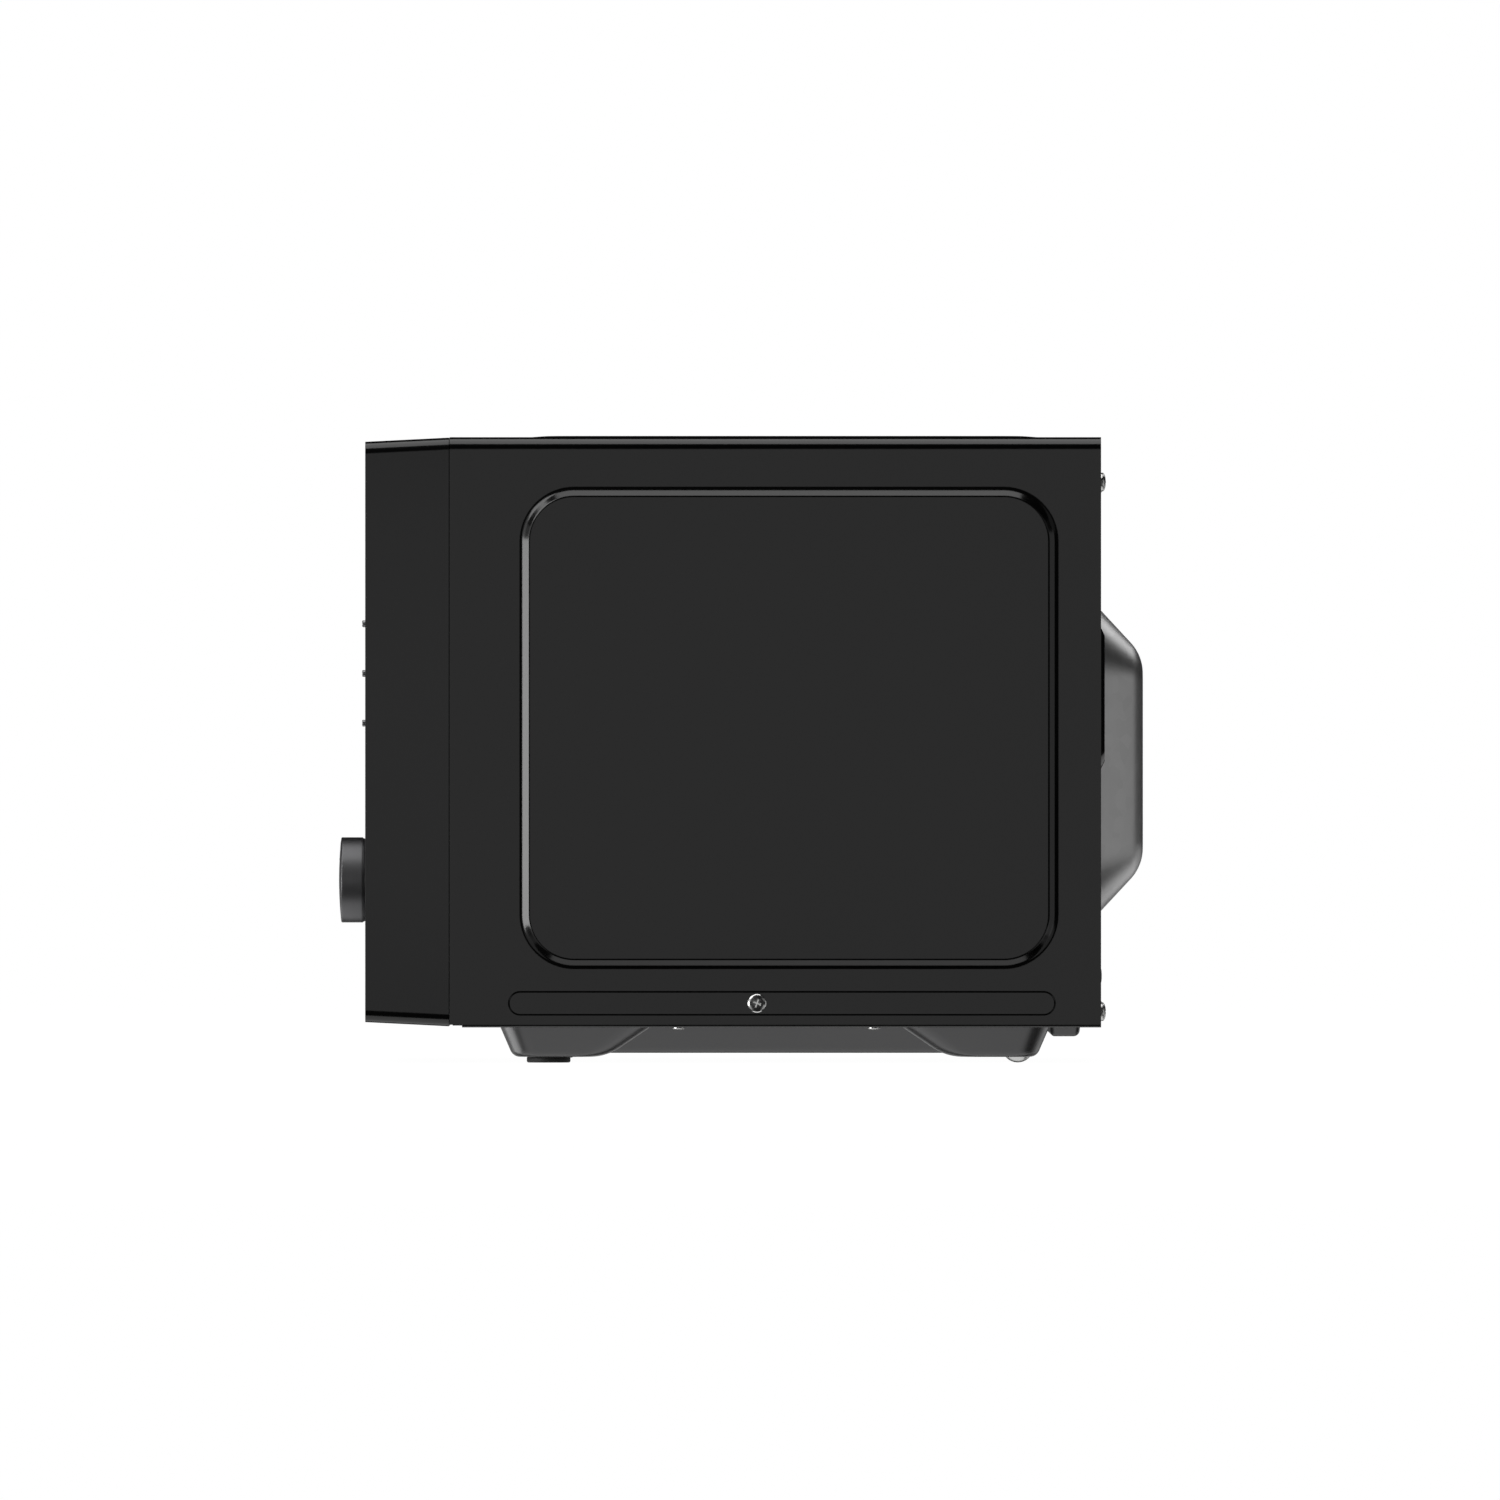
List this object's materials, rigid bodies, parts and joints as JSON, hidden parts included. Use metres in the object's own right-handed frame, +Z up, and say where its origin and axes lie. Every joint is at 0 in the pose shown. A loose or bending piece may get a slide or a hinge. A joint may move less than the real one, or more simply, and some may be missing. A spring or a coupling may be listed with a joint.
{
  "type": "toaster oven",
  "caption": "Countertop toaster oven with a drop-down glass door, wire rack, crumb tray, convection fan, rotary knob and bar keys.",
  "frame": {"origin": "centre of the whole object's footprint box, on the surface that the feet stand on", "axes": "front (door, knob and keys) faces -Y, the control side is +X, +Z up"},
  "size_m": [0.4808, 0.388, 0.3013],
  "materials": {
    "black_paint": "satin black powder coat",
    "black_plastic": "fine satin moulding",
    "bare_steel": "dull grey pressed sheet",
    "galvanised": "zinc-coated pressed sheet",
    "cavity_steel": "aluminised sheet",
    "wool": "mineral wool",
    "quartz": "frosted quartz tube",
    "ceramic": "unglazed steatite",
    "clear_glass": "clear",
    "lamp_glass": "clear",
    "tinted_glass": "polished dark tint",
    "bright_steel": "ground",
    "alloy": "mill",
    "core_steel": "laminated stack, varnished",
    "coil_tape": "yellow tape",
    "gloss_black": "polished",
    "board_green": "solder resist",
    "key_metal": "satin dark anodised",
    "knob_metal": "turned dark anodised",
    "foot_rubber": "matt",
    "white_nylon": "natural",
    "screw_chrome": "bright",
    "screw_zinc": "zinc",
    "rack_chrome": "bright plated",
    "enamel": "black enamel"
  },
  "bodies": {
    "oven": {"outer_cabinet": "black_paint", "front_bezel": "black_plastic", "base_plate": "bare_steel", "rear_panel": "black_paint", "motor_cover": "galvanised", "front_frame": "cavity_steel", "cavity_floor": "cavity_steel", "cavity_top": "cavity_steel", "cavity_left_wall": "cavity_steel", "cavity_right_wall": "cavity_steel", "cavity_back": "cavity_steel", "fan_grille": "cavity_steel", "rack_runner_left": "cavity_steel", "rack_runner_right": "cavity_steel", "bay_divider": "galvanised", "insulation_pads": "wool", "upper_heaters": "quartz", "lower_heaters": "quartz", "heater_insulators": "ceramic", "lamp_lens": "clear_glass", "oven_lamp": "lamp_glass", "temperature_probe": "bright_steel", "motor_bracket": "galvanised", "motor_stator": "core_steel", "motor_coil": "coil_tape", "control_fascia": "gloss_black", "display_lens": "tinted_glass", "display_module": "black_plastic", "control_board": "board_green", "power_board": "board_green", "key_switches": "black_plastic", "encoder_body": "black_plastic", "cord_gland": "black_plastic", "front_feet": "foot_rubber", "rear_feet": "bright_steel", "hinge_bushes": "white_nylon", "side_screws": "screw_chrome", "rear_screws": "screw_zinc", "cover_screws": "screw_zinc", "base_screws": "screw_chrome", "snap_rivets": "black_plastic"},
    "door": {"door_frame": "black_plastic", "door_outer_glass": "tinted_glass", "door_inner_glass": "clear_glass", "door_inner_panel": "cavity_steel", "door_pull_cup": "gloss_black", "hinge_pins": "bright_steel", "door_stays": "bright_steel", "door_panel_screws": "screw_zinc"},
    "rack": {"wire_rack": "rack_chrome", "baking_pan": "enamel"},
    "crumb_tray_slide": {"crumb_tray": "cavity_steel"},
    "key_1": {"key_bar_1": "key_metal"},
    "key_2": {"key_bar_2": "key_metal"},
    "key_3": {"key_bar_3": "key_metal"},
    "knob_turn": {"knob": "knob_metal", "encoder_shaft": "bright_steel"},
    "fan": {"fan_blade": "alloy", "motor_shaft": "bright_steel", "cooling_blade": "alloy"}
  },
  "joints": [
    {"name": "door_hinge", "type": "hinge", "parent": "oven", "child": "door", "pos_m": [-0.054, -0.17605, 0.0482], "axis": [1, 0, 0], "range_deg": [0, 90]},
    {"name": "rack_advance", "type": "slide", "parent": "oven", "child": "rack", "axis": [0, -1, 0], "range_m": [0, 0.0805]},
    {"name": "crumb_tray_slide", "type": "slide", "parent": "oven", "child": "crumb_tray_slide", "axis": [0, -1, 0], "range_m": [0, 0.24]},
    {"name": "key_1_press", "type": "slide", "parent": "oven", "child": "key_1", "axis": [0, 1, 0], "range_m": [0, 0.001], "stiffness_N_per_m": 400, "springref_m": -0.0005},
    {"name": "key_2_press", "type": "slide", "parent": "oven", "child": "key_2", "axis": [0, 1, 0], "range_m": [0, 0.001], "stiffness_N_per_m": 400, "springref_m": -0.0005},
    {"name": "key_3_press", "type": "slide", "parent": "oven", "child": "key_3", "axis": [0, 1, 0], "range_m": [0, 0.001], "stiffness_N_per_m": 400, "springref_m": -0.0005},
    {"name": "knob_spin", "type": "hinge", "parent": "oven", "child": "knob_turn", "pos_m": [0.179, -0.185, 0.0878], "axis": [0, 1, 0], "continuous": true},
    {"name": "fan_spin", "type": "hinge", "parent": "oven", "child": "fan", "pos_m": [-0.054, 0.14, 0.1451], "axis": [0, 1, 0], "continuous": true}
  ],
  "couplings": [
    {"joint": "rack_advance", "follows": "door_hinge", "m_per_rad": 0.051}
  ]
}
